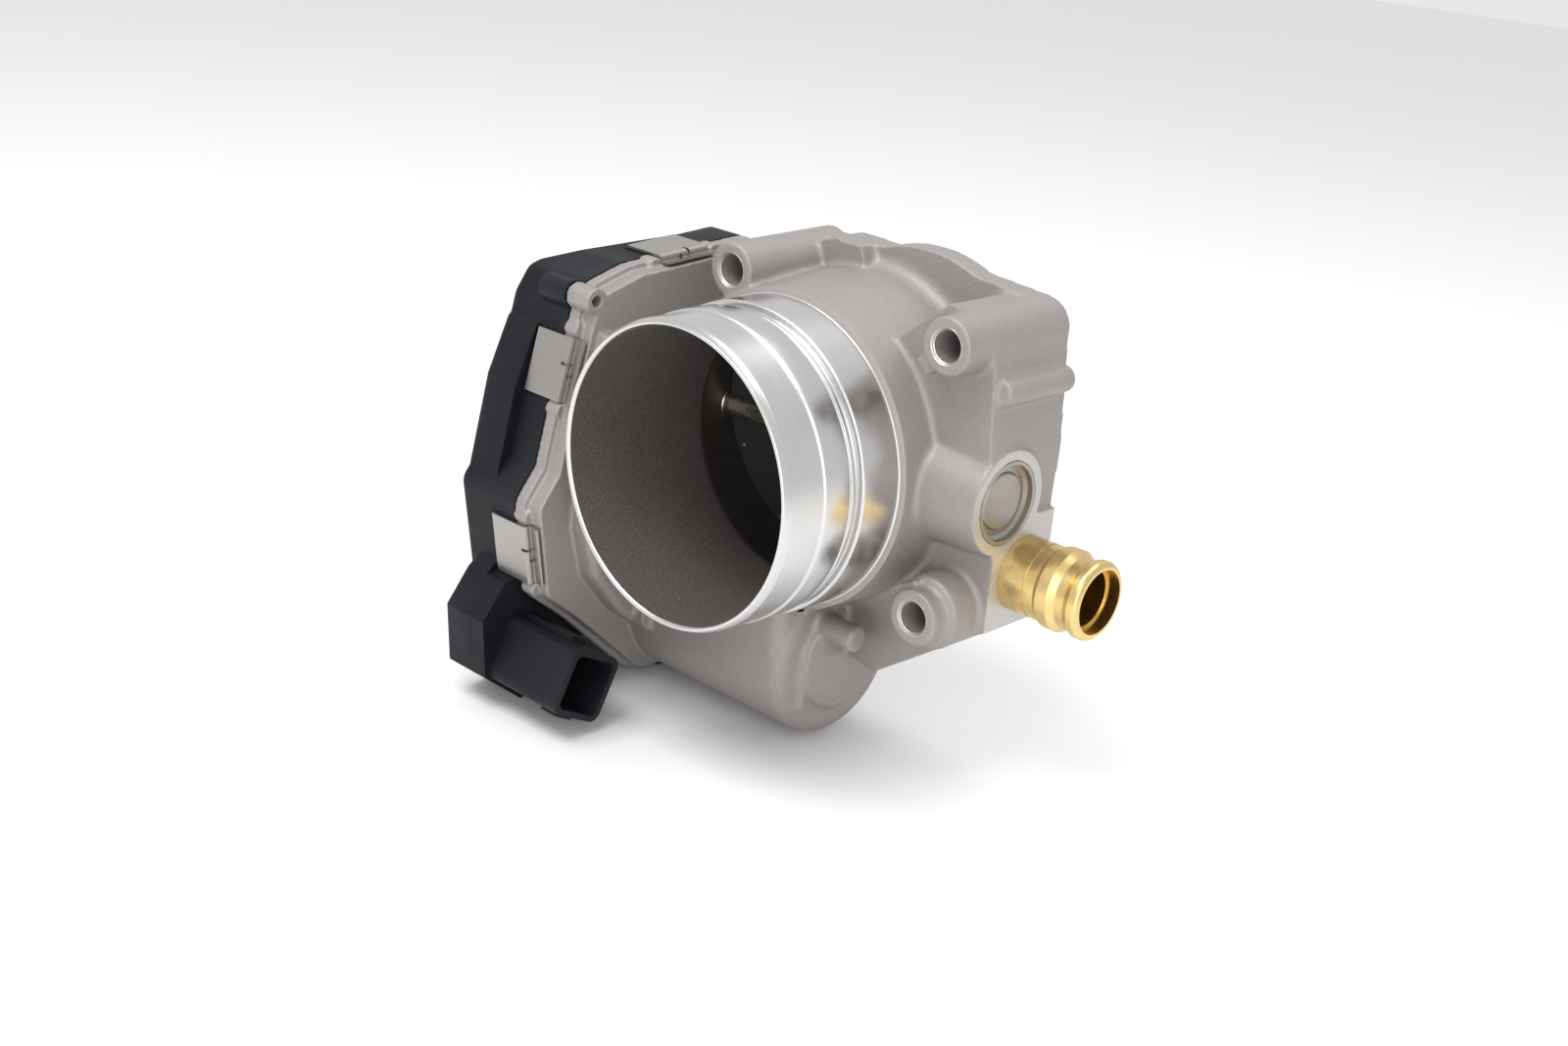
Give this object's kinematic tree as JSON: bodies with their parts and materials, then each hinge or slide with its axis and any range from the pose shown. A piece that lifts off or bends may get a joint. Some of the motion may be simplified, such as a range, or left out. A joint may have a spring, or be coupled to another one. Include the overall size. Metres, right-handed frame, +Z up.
{
  "type": "throttle body",
  "caption": "Electronic throttle body: cast housing with a plate on a geared shaft, drive motor case, clipped gear cover with plug socket, and a side hose nipple.",
  "frame": {"origin": "centre of the bore on the rear mounting face", "axes": "+Y out of the rear mounting face, inlet lip towards -Y; +Z up with the drive motor below the bore; +X towards the hose nipple, gear case towards -X"},
  "size_m": [0.1835, 0.1116, 0.1529],
  "materials": {
    "cast_aluminium": "blasted casting with machined lip, collar and faces",
    "brass": "turned",
    "zinc_steel": "zinc plated sheet",
    "bearing_steel": "ground",
    "seal_rubber": "moulded",
    "shaft_steel": "ground",
    "plate_metal": "dark coated",
    "screw_steel": "plated",
    "gear_plastic": "natural moulded",
    "sensor_plastic": "moulded",
    "magnet_ferrite": "sintered",
    "spring_steel": "oil tempered",
    "sintered_bronze": "sintered",
    "card_plastic": "moulded",
    "brush_carbon": "pressed carbon",
    "contact_copper": "stamped",
    "lamination_steel": "stacked sheets",
    "enamelled_copper": "wound wire",
    "black_plastic": "satin moulded",
    "gasket_rubber": "moulded",
    "clip_steel": "satin sheet",
    "board_green": "laminate",
    "chip_black": "moulded"
  },
  "bodies": {
    "body": {"housing": "cast_aluminium", "hose_nipple": "brass", "core_plug": "zinc_steel", "right_needle_bearing": "bearing_steel", "left_bearing_outer_race": "bearing_steel", "bearing_balls": "bearing_steel", "right_shaft_seal": "seal_rubber", "left_shaft_seal": "seal_rubber", "outlet_seal": "seal_rubber", "idler_pin": "shaft_steel", "return_spring": "spring_steel", "closed_stop_screw": "screw_steel", "motor_can": "zinc_steel", "motor_magnets": "magnet_ferrite", "motor_rear_bush": "sintered_bronze", "motor_spring_washer": "spring_steel", "motor_end_plate": "zinc_steel", "brush_card": "card_plastic", "motor_brushes": "brush_carbon", "motor_front_bush": "sintered_bronze", "motor_terminals": "contact_copper", "motor_screws": "screw_steel", "gear_cover": "black_plastic", "cover_gasket": "gasket_rubber", "cover_clips": "clip_steel", "sensor_board": "board_green", "sensor_chip": "chip_black", "connector_pins": "contact_copper"},
    "throttle": {"throttle_shaft": "shaft_steel", "throttle_plate": "plate_metal", "plate_screws": "screw_steel", "sector_gear": "gear_plastic", "drive_insert": "screw_steel", "sensor_rotor": "sensor_plastic", "sensor_magnet": "magnet_ferrite", "left_bearing_inner_race": "bearing_steel"},
    "idler": {"idler_gear": "gear_plastic"},
    "rotor": {"motor_shaft": "shaft_steel", "armature_core": "lamination_steel", "armature_windings": "enamelled_copper", "commutator": "contact_copper", "motor_pinion": "brass"}
  },
  "joints": [
    {"name": "throttle_turn", "type": "hinge", "parent": "body", "child": "throttle", "pos_m": [0, -0.0235, 0], "axis": [1, 0, 0], "range_deg": [-5, 75], "stiffness_Nm_per_rad": 0.3},
    {"name": "idler_turn", "type": "hinge", "parent": "body", "child": "idler", "pos_m": [-0.07, -0.0394, -0.0323], "axis": [1, 0, 0], "range_deg": [-263, 18]},
    {"name": "rotor_spin", "type": "hinge", "parent": "body", "child": "rotor", "pos_m": [0, -0.0285, -0.0645], "axis": [1, 0, 0], "range_deg": [-82, 1226]}
  ],
  "couplings": [
    {"joint": "idler_turn", "follows": "throttle_turn", "ratio": -3.5},
    {"joint": "rotor_spin", "follows": "throttle_turn", "ratio": 16.333}
  ]
}
